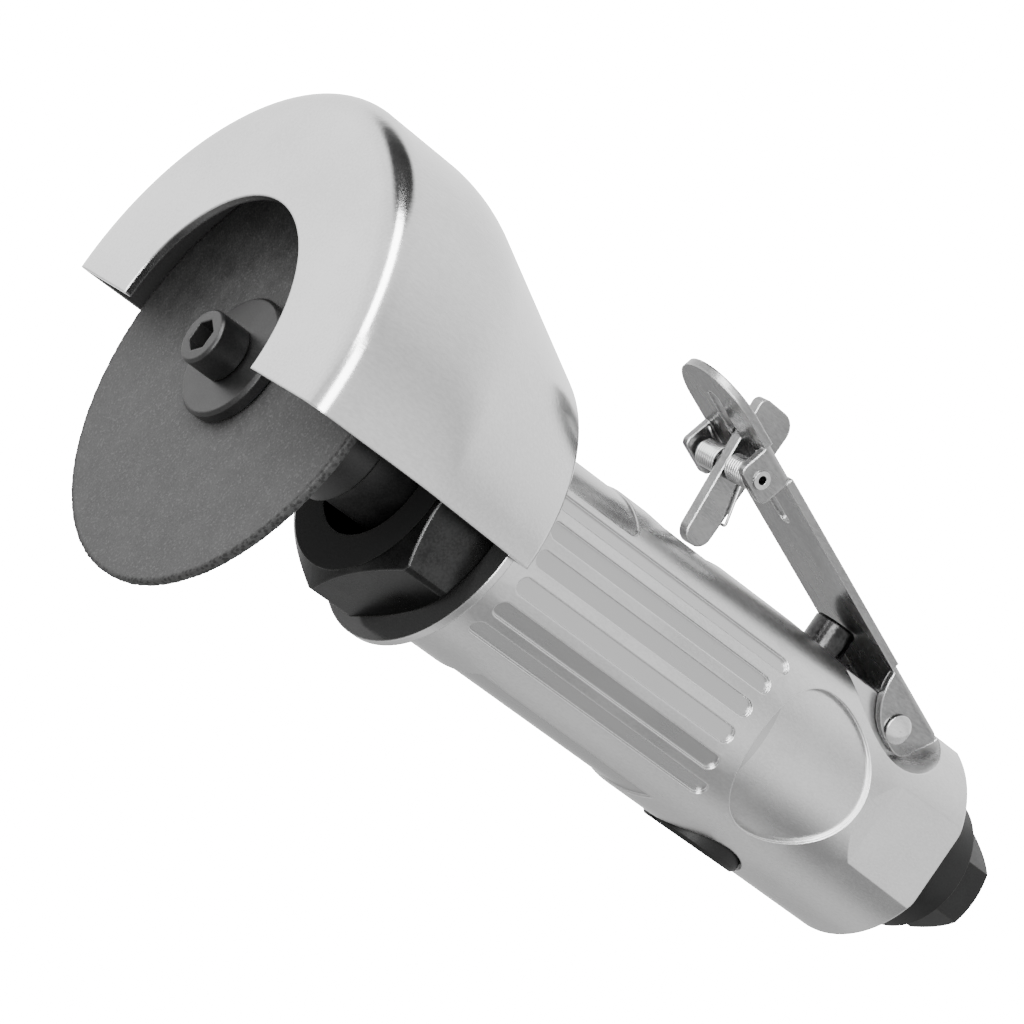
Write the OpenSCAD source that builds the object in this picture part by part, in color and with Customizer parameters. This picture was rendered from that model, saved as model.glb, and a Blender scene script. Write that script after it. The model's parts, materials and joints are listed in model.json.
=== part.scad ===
// Pneumatic cut-off tool for a 3 inch wheel, with a lever throttle and a folding safety latch.
// X is the spindle axis, +X runs rearward out of the air inlet, and +Z is up, on the lever's side.
// The origin is the centre of the air inlet's mouth. All lengths are millimetres.

/* [Cutting wheel] */
// Gap from the wheel's rim to the outside of the guard's drum, which sets the wheel's radius
wheel_gap = 5.9; // [5:0.1:12]
// Thickness of the wheel
wheel_t = 1.6; // [1:0.1:3]
// Radius of the wheel's arbor hole
arbor_r = 4.7625; // [4.5:0.0125:5]
// Wheel's front face to the housing's front face
wheel_reach = 45.7; // [44:0.1:48]

/* [Wheel clamping] */
// Radius of the outer flange and of the drive hub's front
flange_r = 10.6; // [9:0.1:12]
// Thickness of the outer flange
flange_t = 2.7; // [2:0.1:4]
// Radius and depth of the relief behind the outer flange's rim
flange_relief_r = 7.4; // [6:0.1:8.5]
flange_relief = 0.5; // [0.2:0.1:1]
// Chamfer on the flange's rims
flange_edge = 0.5; // [0.2:0.1:1]
// Radius and height of the cap screw's head
screw_head_r = 4.7; // [4:0.1:5.5]
screw_head_h = 6; // [4:0.1:8]
// Radius and length of the cap screw's shank
screw_r = 3; // [2.5:0.1:3.5]
screw_len = 18; // [14:0.5:20]
// Key width and depth of the cap screw's hexagon socket
socket_af = 5; // [4:0.5:6]
socket_depth = 3.2; // [2:0.1:4]
// Chamfer on the head
screw_edge = 0.4; // [0.2:0.1:0.6]

/* [Drive hub] */
// Length of the hub's wide front, behind the wheel
hub_front_len = 22.4; // [18:0.1:24]
// Radius of the hub's waist
hub_waist_r = 9.4; // [8.5:0.1:9.8]
// Radius of the hub's sleeve, which holds the front bearing
hub_sleeve_r = 6.6; // [6:0.1:7]
// Length of the hub's sleeve
hub_sleeve_len = 9; // [6:0.1:12]
// Length of the hub's pilot in the wheel
pilot_len = 1.4; // [0.6:0.1:1.5]

/* [Wheel guard] */
// Sheet thickness
guard_t = 1.5; // [1:0.1:2]
// Outside radius of the guard's drum
guard_r = 44; // [42:0.1:48]
// Depth of the guard, front face to back
guard_depth = 57.3; // [55:0.1:60]
// Length of the drum before the taper
drum_len = 23; // [18:0.1:28]
// Outside radius at the back, before the bend is rounded
guard_back_r = 29.5; // [28:0.1:31]
// Outside radius of the front bend
front_bend = 4.4; // [3:0.1:6]
// Outside radius of the easy bend between the drum and the taper
crease_bend = 26; // [10:1:40]
// Outside radius of the back bend
back_bend = 2.4; // [2:0.1:4]
// Radius of the opening in the front face
guard_mouth_r = 23.3; // [20:0.1:26]
// Radius of the clamping plate below the hood
guard_plate_r = 24.4; // [22:0.1:26]
// How far the hood reaches below the axis
hood_drop = 0.7; // [0:0.1:3]

/* [Clamp nut] */
// Width across the flats
nut_af = 39; // [36:0.1:40]
// Length of the hexagon
nut_hex_len = 13; // [11:0.1:15]
// Length of the turned chamfer at the hexagon's front and at its back
nut_chamfer = 2.4; // [1:0.1:3]
nut_back_chamfer = 1.8; // [1:0.1:3]
// Radius of the hole in the nut's face
nut_mouth_r = 12.4; // [11:0.1:13]
// Length of the threaded skirt inside the housing
nut_skirt_len = 7; // [5:0.1:9]
// Wall of the threaded skirt
nut_skirt_wall = 3; // [2:0.1:4]

/* [Housing] */
// Length of the housing
housing_len = 115.8; // [113:0.1:122]
// Outer radius at the guard's end
housing_front_r = 19.9; // [19.6:0.1:22]
// Outer radius at the inlet's end
housing_rear_r = 21; // [20.6:0.1:23]
// Rounding of the tail's rim
tail_round = 0.8; // [0.4:0.1:2]
// Chamfer of the front rim
rim_edge = 0.6; // [0.3:0.1:1]
// Radius of the motor's bore
motor_r = 17.4; // [17:0.1:17.6]
// Housing's tail to the floor of the motor's bore
tail_block = 48.8; // [48:0.1:49]

/* [Grip] */
// Flutes on each side, their pitch round the axis, width and depth
flute_count = 6; // [4:2:8]
flute_pitch = 15; // [13:0.5:16]
flute_w = 3.2; // [2:0.1:4]
flute_depth = 0.6; // [0.3:0.1:0.8]
// Housing's front face to the flutes
flute_at = 6.3; // [4:0.1:10]
// Radius and depth of the round thumb pads, and the housing's tail to their centre
pad_r = 13.9; // [11:0.1:14.5]
pad_depth = 0.7; // [0.4:0.1:1.2]
pad_inset = 38.1; // [37:0.1:40]
// Clear margin between the flutes and the pad
pad_margin = 4.2; // [3:0.1:6]
// Depth and length of the wrench flats, and the slope that leads to them in degrees
flat_depth = 1.8; // [1:0.1:2.4]
flat_len = 18.1; // [14:0.1:20]
wrench_ramp = 16; // [12:1:40]
// Latch landing on top: depth, front end, gap from its rear end to the pivot pin, and width
landing_depth = 0.9; // [0.7:0.1:1.2]
landing_at = 31; // [28:0.1:34]
landing_gap = 46.3; // [44:0.1:46.5]
landing_w = 12; // [10:0.1:13]
// Shallow panel sunk into the top, in front of the landing: rear end, width, corner radius and depth
top_end = 25.6; // [22:0.1:27]
top_w = 27.6; // [24:0.1:28]
top_corner = 2.4; // [1:0.1:5]
top_depth = 0.4; // [0.2:0.1:0.6]
// Ramp under the lever: how far it begins before the valve, its gap to the pivot pin and its slope in degrees
ramp_front = 12.9; // [10:0.1:13.4]
ramp_gap = 10.1; // [9.8:0.1:12]
ramp_slope = 4; // [2:0.5:5]
// Flat top of the pivot boss and the tail, above the pivot pin
boss_top = 3.4; // [3:0.1:3.5]
// Bare panel sunk into the underside: front end, gap to the regulator's recess, width, slant of its ends and depth
panel_at = 13; // [10:0.1:20]
panel_gap = 9; // [6:0.1:14]
panel_w = 18.6; // [14:0.1:20]
panel_slant = 5; // [0:0.1:8]
panel_depth = 0.5; // [0.3:0.1:0.8]

/* [Motor] */
// Length of the front and rear end plates
front_plate_len = 11; // [10.5:0.1:12]
rear_plate_len = 9; // [8.5:0.1:10]
// Bore of the cylinder and its offset from the axis
cylinder_bore_r = 14.2; // [14.1:0.1:14.4]
cylinder_offset = 1.4; // [1.2:0.1:1.4]
// Radius of the rotor
rotor_r = 12.6; // [12:0.1:12.6]
// Vanes: number, thickness and depth
vane_count = 5; // [4:1:6]
vane_t = 1.6; // [1.2:0.1:2]
vane_depth = 4.6; // [4:0.1:5]
// Dowel that lines up the cylinder and the end plates
dowel_r = 1.2; // [1:0.1:1.4]
dowel_bite = 2.2; // [1.5:0.1:2.4]
// Radius of the air port and of the exhaust holes
port_r = 1.9; // [1.5:0.1:2.2]
exhaust_count = 3; // [2:1:4]
// Radius of the exhaust passage, and its distance from the axis at the motor and at the tail
exhaust_r = 1.3; // [1:0.1:1.3]
exhaust_y = 15.9; // [15.6:0.1:16]
exhaust_exit_y = 10.5; // [10:0.1:10.6]

/* [Bearings] */
// Front bearing: shaft radius, outside radius and width
front_shaft_r = 5; // [4.8:0.1:5.2]
front_bearing_r = 13; // [12.8:0.1:13.2]
front_bearing_w = 8; // [7.5:0.1:8.4]
// Rear bearing: shaft radius, outside radius and width
rear_shaft_r = 4; // [3.8:0.1:4.2]
rear_bearing_r = 11; // [10.8:0.1:11.2]
rear_bearing_w = 7; // [6.5:0.1:7.2]
// Balls in each bearing
ball_count = 7; // [6:1:8]

/* [Lever] */
// Sheet thickness
lever_t = 1.5; // [1.2:0.1:1.8]
// Outside width of the lever
lever_w = 19; // [18:0.1:20]
// Outside radius of the sheet's bends
lever_bend = 2; // [1.9:0.1:2.4]
// Pivot pin to the tip, along the lever
lever_reach = 78.6; // [75:0.1:84]
// Top of the lever above the pivot pin
lever_rise = 6.3; // [6.1:0.05:6.5]
// Tilt of the lever at rest, in degrees
lever_tilt = 17.5; // [17:0.25:19]
// Housing's tail to the pivot pin, and the pin's depth below the tail's radius
pivot_inset = 17.5; // [16:0.1:18]
pivot_drop = 4.8; // [4.4:0.1:5]
// Radius of the pivot pin and of its heads
pivot_r = 2; // [1.6:0.1:2]
pivot_head_r = 2.7; // [2.5:0.1:2.8]
pivot_head_h = 0.9; // [0.6:0.1:1.2]
// Length of the latch slot in front of the latch pin and behind it
slot_front = 13.6; // [13:0.1:15]
slot_rear = 16.6; // [16:0.1:18]

/* [Safety latch] */
// Latch pin in front of the pivot pin, along the lever, and above it
latch_pin_at = 59.15; // [58:0.1:60]
latch_pin_rise = 1.4; // [1.2:0.1:1.6]
// Radius and bore of the hollow latch pin
latch_pin_r = 1.6; // [1.4:0.1:1.7]
latch_pin_bore_r = 0.8; // [0.5:0.1:1]
// Sheet thickness of the latch
latch_t = 2.4; // [1.6:0.1:2.4]
// Gap from the foot's tip down to its landing, and latch pin to the top of the tab
foot_gap = 0.88; // [0.8:0.02:1.2]
tab_len = 12.4; // [11:0.1:12.8]
// Width of the foot
foot_w = 5.4; // [4.6:0.1:5.6]
// Width of the lever's ears along the lever
ear_w = 8.1; // [7:0.1:9]
// Depth of the ears below the lever's top
ear_drop = 7.2; // [7:0.1:8]

/* [Latch spring] */
// Wire radius and mean radius of the coils
spring_wire_r = 0.25; // [0.2:0.01:0.28]
spring_r = 2.3; // [2.2:0.05:2.4]
// Curls on each side of the latch
spring_curls = 6; // [4:1:6]
// Latch pin down to the bail behind the foot
bail_drop = 9; // [8:0.1:9.5]
// Length of the arms under the lever
spring_arm = 6; // [4:0.1:7]

/* [Throttle valve] */
// Housing's tail to the valve's axis
valve_inset = 34.4; // [34:0.1:35]
// Radius of the plunger, and height of its top above the pivot pin
plunger_r = 4; // [3.6:0.1:4]
plunger_rise = 9.05; // [8.4:0.05:9.05]
// Radius of the plunger's shoulder and of its stem
shoulder_r = 5; // [4.8:0.1:5.2]
stem_r = 1.9; // [1.6:0.1:2.2]
// Radius of the valve's bore, and its top above the axis
valve_bore_r = 7.5; // [7.2:0.1:7.6]
valve_bore_top = 12.5; // [12:0.1:13]
// Radius of the bush's chamber and of its seat
chamber_r = 5.6; // [5.4:0.1:5.8]
seat_r = 3.2; // [3:0.1:3.6]
// Height of the seat's underside above the axis, and the seat's thickness
seat_z = 1; // [0.5:0.1:1.5]
seat_t = 2.4; // [2:0.1:3]
// Radius and thickness of the valve's disc
valve_r = 4.9; // [4.4:0.1:5]
valve_t = 3; // [2:0.1:3.4]
// Travel of the plunger
plunger_travel = 1.6; // [1.2:0.1:2]
// Wire radius, mean radius and curls of the valve spring
valve_wire_r = 0.4; // [0.3:0.05:0.5]
valve_spring_r = 3.2; // [3:0.1:3.4]
valve_curls = 5; // [4:1:6]

/* [Regulator] */
// Radius of the knob's recess and depth of its floor below the tail's radius
recess_r = 10.4; // [10:0.1:10.6]
recess_depth = 4.6; // [4.2:0.1:5]
// Thickness of the knob's head, the gap round it and the chamfer of its rim
knob_t = 4.7; // [4:0.1:5]
knob_gap = 0.7; // [0.4:0.1:1]
knob_edge = 0.7; // [0.3:0.1:1]
// Width and depth of the knob's slot
knob_slot_w = 2; // [1.5:0.1:3]
knob_slot_depth = 1.6; // [1:0.1:2]
// Depth of the cup's floor and of its rim below the axis
cup_floor = 10.8; // [10.4:0.1:11.2]
cup_rim = 4.2; // [4:0.1:4.4]
// Radius and depth of the inlet port in the cup's side
cup_port_r = 2.6; // [2:0.1:2.8]
cup_port_z = 7.5; // [7.3:0.1:7.7]
// Radius of the pin that holds the regulator in, and depth of its groove
stop_pin_r = 0.9; // [0.7:0.1:1]
stop_groove = 1.3; // [1:0.1:1.5]

/* [Air inlet] */
// Radius and length of the threaded mouth
inlet_r = 5.8; // [5.6:0.1:6]
inlet_len = 11; // [10:0.5:13]
// Width across the flats of the bush, and length of its hexagon
bush_af = 18; // [17:0.1:19]
bush_hex_len = 9.7; // [8:0.1:11]
// Chamfer of the bush's rim
bush_edge = 1.4; // [0.8:0.1:1.6]
// Radius and length of the bush's shank in the housing
bush_shank_r = 8.4; // [8:0.1:8.6]
bush_shank_len = 15.4; // [14:0.1:15.6]
// Radius of the bush's inner passage
bush_bore_r = 4.4; // [4:0.1:4.8]
// Collar between the bush and the tail: length and radii at its two ends
collar_len = 12.8; // [11:0.1:14]
collar_front_r = 14; // [13.6:0.1:15]
collar_rear_r = 13.5; // [12.5:0.1:13.5]
// Chamfer of the collar's rear rim
collar_edge = 0.8; // [0.4:0.1:1.2]
// Thickness and radius of the strainer, and radius of its holes
screen_t = 0.8; // [0.5:0.1:1.2]
screen_r = 5.2; // [5:0.1:5.4]
screen_hole_r = 0.6; // [0.4:0.1:0.7]

/* [Fits] */
// Radial clearance of a running fit
running = 0.05; // [0.02:0.01:0.08]
// Clearance of a seated piece
seated = 0.02; // [0.01:0.01:0.03]
// Gap beside a part that moves
slack = 0.3; // [0.2:0.05:0.4]

/* [Hidden] */
$fn = 64;
// Overrun of every cut past the surface it leaves
over = 1;
wire_sides = 6;
wire_steps = 8;
// Steps of the guard's back bend and of its easy bend
bend_steps = 8;
crease_steps = 12;

// Stations along the axis
tail_x = -(bush_hex_len + collar_len);
face_x = tail_x - housing_len;
wheel_r = guard_r - wheel_gap;
motor_depth = housing_len - tail_block;
cylinder_len = motor_depth - nut_skirt_len - front_plate_len - rear_plate_len;
valve_at = housing_len - valve_inset;
pad_at = housing_len - pad_inset;
pivot_at = housing_len - pivot_inset;
wrench_at = housing_len - flat_len;
landing_end = pivot_at - landing_gap;
ramp_at = valve_at - ramp_front;
ramp_end = pivot_at - ramp_gap;
panel_end = valve_at - recess_r - panel_gap;
plate_x = face_x - guard_t;
guard_x = face_x - guard_depth;
wheel_x = face_x - wheel_reach;
hub_x = wheel_x + wheel_t;
waist_x = hub_x + hub_front_len;
nut_x = plate_x - 2 * running - nut_hex_len;
skirt_end = face_x + nut_skirt_len;
cylinder_x = skirt_end + front_plate_len;
rear_plate_x = cylinder_x + cylinder_len;
motor_end = face_x + motor_depth;
front_bearing_x = cylinder_x - (front_plate_len - front_bearing_w) - front_bearing_w;
rear_bearing_x = rear_plate_x + rear_plate_len - rear_bearing_w;
valve_x = face_x + valve_at;
pad_x = face_x + pad_at;
pivot_x = face_x + pivot_at;
cone_len = housing_len - tail_round;
taper = atan((housing_rear_r - housing_front_r) / cone_len);

// Outer radius of the housing at a distance behind its front face
function housing_r(at) = housing_front_r + at * tan(taper);

// Sleeve of the hub: its front end, and the shaft inside it
sleeve_x = front_bearing_x - hub_sleeve_len;
shaft_front_x = hub_x + screw_len - wheel_t - flange_t + pilot_len;

// Lever
pivot_z = housing_rear_r - pivot_drop;
pivot = [pivot_x, 0, pivot_z];
latch_pin = pivot + [-latch_pin_at * cos(lever_tilt) + latch_pin_rise * sin(lever_tilt), 0,
    latch_pin_at * sin(lever_tilt) + latch_pin_rise * cos(lever_tilt)];
lever_inner = lever_w / 2 - lever_t;
boss_half = lever_inner - slack;
tab_w = 8.7;
tab_front = 3;
foot_front = 0.75;
tab_corner_front = 1.5;
tab_corner_rear = 3.2;
tab_root = 5.4;
cheek_bottom = 2.75;
cheek_sweep_r = 10.6;
cheek_sweep_x = 0.5;
cheek_lobe_r = 3.2;
cheek_lobe_x = 3.1;
cheek_rear = 7.8;
cheek_rear_z = 4.4;
cheek_corner = 1.6;
web_end = 2.4;
ear_corner = 1.2;
// Round pocket for the cheek: radius, and its centre in front of the pivot pin and above it
pocket_r = 14.5;
pocket_ahead = 2.6;
pocket_rise = 8.8;
foot_len = latch_pin[2] - housing_r(landing_end) + landing_depth - foot_gap;

// Exhaust slots in the collar: depth, and the angle between them
exhaust_depth = 1.2;
exhaust_spread = 40;

// Valve stack
shoulder_t = 2.3;
o_ring_r = 0.75;
plunger_top = pivot_z + plunger_rise;
plunger_ring_z = 16;
recess_floor = housing_rear_r - recess_depth;
ring_lift = 3.8;
pin_lift = 1.4;
regulator_ring_z = ring_lift - recess_floor;
bush_window_r = 2.6;

module along_x(x) translate([x, 0, 0]) rotate([0, 90, 0]) children();
module along_y(p) translate(p) rotate([-90, 0, 0]) children();
module up_from(p) translate(p) children();

// Ring about the X axis
module ring_x(x, len, r_out, r_in) along_x(x) difference() {
    cylinder(r = r_out, h = len);
    translate([0, 0, -over]) cylinder(r = r_in, h = len + 2 * over);
}

// Cylinder with both rims chamfered
module chamfered(r, h, edge) rotate_extrude()
    polygon([[0, 0], [r - edge, 0], [r, edge], [r, h - edge], [r - edge, h], [0, h]]);

// Hexagonal prism by its width across the flats, with two flats square to Y once laid along X
module hexagon(af, h) cylinder(r = af / 2 / cos(30), h = h, $fn = 6);

// Wire swept along a path
function unit(v) = v / norm(v);
function tangent(p, i) = unit(p[min(i + 1, len(p) - 1)] - p[max(i - 1, 0)]);
function square_to(n, t) = unit(n - (n * t) * t);
function normals(p, first) = [for (i = 0, n = square_to(first, tangent(p, 0)); i < len(p);
    n = i + 1 < len(p) ? square_to(n, tangent(p, i + 1)) : n, i = i + 1) n];
module wire(p, r, first) {
    m = len(p);
    s = wire_sides;
    ns = normals(p, first);
    rings = [for (i = [0:m - 1]) let (t = tangent(p, i), b = cross(t, ns[i])) for (k = [0:s - 1])
        p[i] + r * (cos(k * 360 / s) * ns[i] + sin(k * 360 / s) * b)];
    skin = [for (i = [0:m - 2]) for (k = [0:s - 1])
        let (a = i * s + k, c = i * s + (k + 1) % s) each [[a, a + s, c + s], [a, c + s, c]]];
    front_cap = [for (k = [1:s - 2]) [0, k, k + 1]];
    back_cap = [for (k = [1:s - 2]) [(m - 1) * s, (m - 1) * s + k + 1, (m - 1) * s + k]];
    polyhedron(rings, concat(skin, front_cap, back_cap));
}
// Least gap of a wire to itself, between points more than half a curl apart
function self_gap(p, r) = min([for (i = [0:len(p) - 1]) for (j = [i + wire_steps / 2 + 1:len(p) - 1])
    norm(p[i] - p[j])]) - 2 * r;

// Section of the guard, as radius against depth, drawn in from its outside by an inset
module guard_section(inset) {
    slope = atan((guard_r - guard_back_r) / (guard_depth - drum_len));
    r = guard_r - inset;
    back = guard_depth - inset;
    crease = drum_len - inset * tan(slope / 2);
    back_r = r - (back - crease) * tan(slope);
    fb = front_bend - inset;
    bb = back_bend - inset;
    cut = bb * tan(45 - slope / 2);
    bend = [for (i = [0:bend_steps]) let (a = slope + (90 - slope) * i / bend_steps)
        [back_r - cut + bb * cos(a), back - bb + bb * sin(a)]];
    easy_y = drum_len - crease_bend * tan(slope / 2);
    easy = [for (i = [0:crease_steps]) let (a = slope * i / crease_steps)
        [guard_r - crease_bend + (crease_bend - inset) * cos(a), easy_y + (crease_bend - inset) * sin(a)]];
    polygon(concat([[0, inset + fb], [r, inset + fb]], easy, bend, [[0, back]]));
    translate([0, inset]) square([r - fb, fb]);
    translate([r - fb, inset + fb]) circle(fb);
}

module wheel_guard() color("silver") translate([-running, 0, 0]) {
    span = guard_r + over;
    difference() {
        union() {
            intersection() {
                along_x(guard_x) difference() {
                    rotate_extrude() guard_section(0);
                    rotate_extrude() guard_section(guard_t);
                }
                translate([guard_x - over, -span, -hood_drop])
                    cube([guard_depth + 2 * over, 2 * span, span + hood_drop]);
            }
            along_x(plate_x) cylinder(r = guard_plate_r, h = guard_t);
        }
        along_x(guard_x - over) cylinder(r = guard_mouth_r, h = guard_t + 2 * over);
        along_x(plate_x - over) cylinder(r = motor_r - seated + running, h = guard_t + 2 * over);
    }
}

module clamp_nut() color("black") difference() {
    flat_r = nut_af / 2;
    corner_r = flat_r / cos(30) * nut_corner_share;
    union() {
        along_x(nut_x) intersection() {
            hexagon(nut_af, nut_hex_len);
            rotate_extrude() polygon([[0, 0], [flat_r - nut_chamfer / 3, 0], [corner_r, nut_chamfer],
                [corner_r, nut_hex_len - nut_back_chamfer], [flat_r, nut_hex_len], [0, nut_hex_len]]);
        }
        along_x(nut_x + nut_hex_len - over)
            cylinder(r = motor_r - seated, h = skirt_end - nut_x - nut_hex_len + over);
    }
    along_x(nut_x - over) cylinder(r = nut_mouth_r, h = nut_hex_len + 2 * over);
    along_x(plate_x) cylinder(r = motor_r - nut_skirt_wall, h = guard_t + nut_skirt_len + over);
}

// Solid of the housing's outside, drawn in by an inset
module housing_form(inset) along_x(face_x) rotate_extrude() {
    front = housing_front_r - inset;
    rear = housing_rear_r - inset;
    polygon([[0, 0], [front - rim_edge, 0], [front, rim_edge], [rear, cone_len], [0, cone_len]]);
    translate([0, cone_len]) square([rear - tail_round, tail_round]);
    translate([rear - tail_round, cone_len]) circle(tail_round);
}

// Slot with round ends, lying along X from its first end
module slot_shape(len, w) {
    translate([w / 2, -w / 2]) square([len - w, w]);
    translate([w / 2, 0]) circle(w / 2);
    translate([len - w / 2, 0]) circle(w / 2);
}

// Flutes stop on an arc round the thumb pad
module flutes(side) {
    for (i = [0:flute_count - 1]) {
        lean = (i - (flute_count - 1) / 2) * flute_pitch;
        height = housing_r(pad_at) * sin(lean);
        end = pad_at - sqrt(pow(pad_r + pad_margin, 2) - pow(height, 2));
        rotate([side * 90 + lean, 0, 0])
            translate([face_x + flute_at, 0, housing_r(flute_at) - flute_depth])
                rotate([0, -taper, 0]) linear_extrude(flute_depth + over) slot_shape(end - flute_at, flute_w);
    }
}

module thumb_pad(side) difference() {
    along_y([pad_x, side > 0 ? -housing_rear_r - over : pad_r, 0])
        cylinder(r = pad_r, h = housing_rear_r + over - pad_r);
    housing_form(pad_depth);
}

// Wrench flat, with the slope that leads down to it
module wrench_flat(side) {
    depth = flat_depth + over;
    half = housing_rear_r - flat_depth;
    translate([face_x + wrench_at, -side * half, -housing_rear_r]) linear_extrude(2 * housing_rear_r)
        polygon([[0, 0], [housing_len, 0], [housing_len, -side * depth], [-depth / tan(wrench_ramp), -side * depth]]);
}

module under_panel() difference() {
    half = panel_w / 2;
    translate([face_x, 0, -housing_rear_r - over]) linear_extrude(housing_rear_r / 2)
        polygon([[panel_at + panel_slant, -half], [panel_end, -half], [panel_end - panel_slant, half], [panel_at, half]]);
    housing_form(panel_depth);
}

module top_panel() difference() {
    half = top_w / 2;
    arc = [for (i = [0:bend_steps]) let (a = 90 * i / bend_steps)
        [top_end - top_corner + top_corner * sin(a), half - top_corner + top_corner * cos(a)]];
    far_arc = [for (i = [bend_steps:-1:0]) [arc[i][0], -arc[i][1]]];
    translate([face_x, 0, housing_front_r / 2]) linear_extrude(housing_rear_r)
        polygon(concat([[flute_at, half]], arc, far_arc, [[flute_at, -half]]));
    housing_form(top_depth);
}

// Round pocket beside the pivot boss, where the lever's cheek swings
module cheek_pocket(side) {
    y = side > 0 ? -housing_rear_r - over : boss_half;
    along_y([pivot_x - pocket_ahead, y, pivot_z + pocket_rise])
        cylinder(r = pocket_r, h = housing_rear_r + over - boss_half);
}

module housing() color("lightgray") difference() {
    housing_form(0);
    for (side = [1, -1]) {
        flutes(side);
        thumb_pad(side);
        wrench_flat(side);
        cheek_pocket(side);
    }
    under_panel();
    top_panel();
    // Landing for the latch's foot
    translate([face_x + landing_at, 0, housing_r(landing_end) - landing_depth])
        linear_extrude(landing_depth + over) slot_shape(landing_end - landing_at, landing_w);
    // Ramp under the lever
    translate([face_x + ramp_at, -housing_rear_r, housing_r(ramp_at)]) rotate([0, ramp_slope, 0])
        cube([(ramp_end - ramp_at) / cos(ramp_slope), 2 * housing_rear_r, housing_rear_r]);
    // Flat top of the pivot boss and the tail
    translate([face_x + ramp_end - over, -housing_rear_r, pivot_z + boss_top])
        cube([housing_len, 2 * housing_rear_r, housing_rear_r]);
    // Motor's bore and the air passage to it
    along_x(face_x - over) cylinder(r = motor_r, h = motor_depth + over);
    translate([motor_end - over, 0, air_port_z]) rotate([0, 90 + air_fall, 0])
        cylinder(r = port_r, h = norm([valve_x - motor_end, air_port_z - bush_window_z]));
    // Exhaust passage from the motor to the collar at the tail
    translate([motor_end, exhaust_y, 0]) rotate([0, 0, -exhaust_lean]) along_x(-over)
        cylinder(r = exhaust_r, h = norm([tail_x - motor_end, exhaust_y - exhaust_exit_y]) + 2 * over);
    // Valve's bore, plunger's hole and regulator's recess
    up_from([valve_x, 0, -recess_floor - over]) cylinder(r = valve_bore_r, h = recess_floor + over + valve_bore_top);
    up_from([valve_x, 0, valve_bore_top - over]) cylinder(r = plunger_r + running, h = housing_rear_r);
    up_from([valve_x, 0, -housing_rear_r - over]) cylinder(r = recess_r, h = housing_rear_r + over - recess_floor);
    along_y([valve_x, valve_bore_r - over, regulator_pin_z]) cylinder(r = stop_pin_r + seated, h = housing_rear_r);
    // Inlet bush's bore and the air passage from it
    along_x(tail_x - bush_shank_len - seated) cylinder(r = bush_shank_r + seated, h = bush_shank_len + over);
    translate([tail_x - bush_shank_len + over, 0, -inlet_drop]) rotate([0, -90 - inlet_fall, 0])
        cylinder(r = cup_port_r, h = norm([tail_x - bush_shank_len - valve_x, cup_port_z - inlet_drop]));
    // Pivot pin
    along_y([pivot_x, -housing_rear_r, pivot_z]) cylinder(r = pivot_r + seated, h = 2 * housing_rear_r);
}
// Air passages: heights of their two ends and their slopes
air_port_z = 14.2;
bush_window_z = 8.4;
air_fall = atan((air_port_z - bush_window_z) / (valve_x - motor_end));
exhaust_lean = atan((exhaust_y - exhaust_exit_y) / (tail_x - motor_end));
inlet_drop = 2;
inlet_fall = atan((cup_port_z - inlet_drop) / (tail_x - bush_shank_len - valve_x));
regulator_pin_z = pin_lift - recess_floor;

module front_end_plate() color("dimgray") difference() {
    along_x(skirt_end) cylinder(r = motor_r - seated, h = front_plate_len);
    along_x(skirt_end - over) cylinder(r = front_bearing_r + seated, h = front_bearing_w + over);
    along_x(skirt_end) cylinder(r = front_shaft_r + slack, h = front_plate_len + over);
    dowel_hole();
}

module rear_end_plate() color("dimgray") difference() {
    along_x(rear_plate_x) cylinder(r = motor_r - seated, h = rear_plate_len);
    along_x(rear_bearing_x) cylinder(r = rear_bearing_r + seated, h = rear_bearing_w + over);
    along_x(rear_plate_x - over) cylinder(r = rear_shaft_r + slack, h = rear_plate_len);
    translate([0, 0, air_port_z]) along_x(rear_plate_x - over) cylinder(r = port_r, h = rear_plate_len + 2 * over);
    dowel_hole();
    exhaust_groove();
}

// Groove along the liner's outside, from its exhaust holes to the passage in the housing
module exhaust_groove() translate([cylinder_x + cylinder_len / (exhaust_count + 1), exhaust_y, -exhaust_r])
    cube([motor_end - cylinder_x, motor_r - exhaust_y + over, 2 * exhaust_r]);

// Dowel in the cylinder's thick wall, below the rotor
dowel_z = -(motor_r + cylinder_bore_r - cylinder_offset) / 2;
module dowel_hole() translate([0, 0, dowel_z])
    along_x(cylinder_x - dowel_bite) cylinder(r = dowel_r + seated, h = cylinder_len + 2 * dowel_bite);

module cylinder_dowel() color("gray") translate([0, 0, dowel_z])
    along_x(cylinder_x - dowel_bite + seated) cylinder(r = dowel_r, h = cylinder_len + 2 * (dowel_bite - seated));

module cylinder_liner() color("slategray") difference() {
    along_x(cylinder_x) cylinder(r = motor_r - seated, h = cylinder_len);
    translate([0, 0, cylinder_offset]) along_x(cylinder_x - over) cylinder(r = cylinder_bore_r, h = cylinder_len + 2 * over);
    dowel_hole();
    exhaust_groove();
    for (i = [1:exhaust_count])
        along_y([cylinder_x + i * cylinder_len / (exhaust_count + 1), 0, 0]) cylinder(r = port_r, h = motor_r);
}

// Ball bearing about the X axis: race grooves, ball circle and cage follow its three sizes
function ball_circle(r_in, r_out) = (r_in + r_out) / 2;
function ball_r(r_in, r_out) = (r_out - r_in) * ball_share;
ball_share = 0.29;
race_share = 0.36;
cage_share = 0.75;
// Inner races stand clear of the walls beside them
race_gap = 0.2;

module groove(x, w, r_in, r_out) along_x(x + w / 2) rotate_extrude() translate([ball_circle(r_in, r_out), 0])
    circle(ball_r(r_in, r_out) + running);

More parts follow.
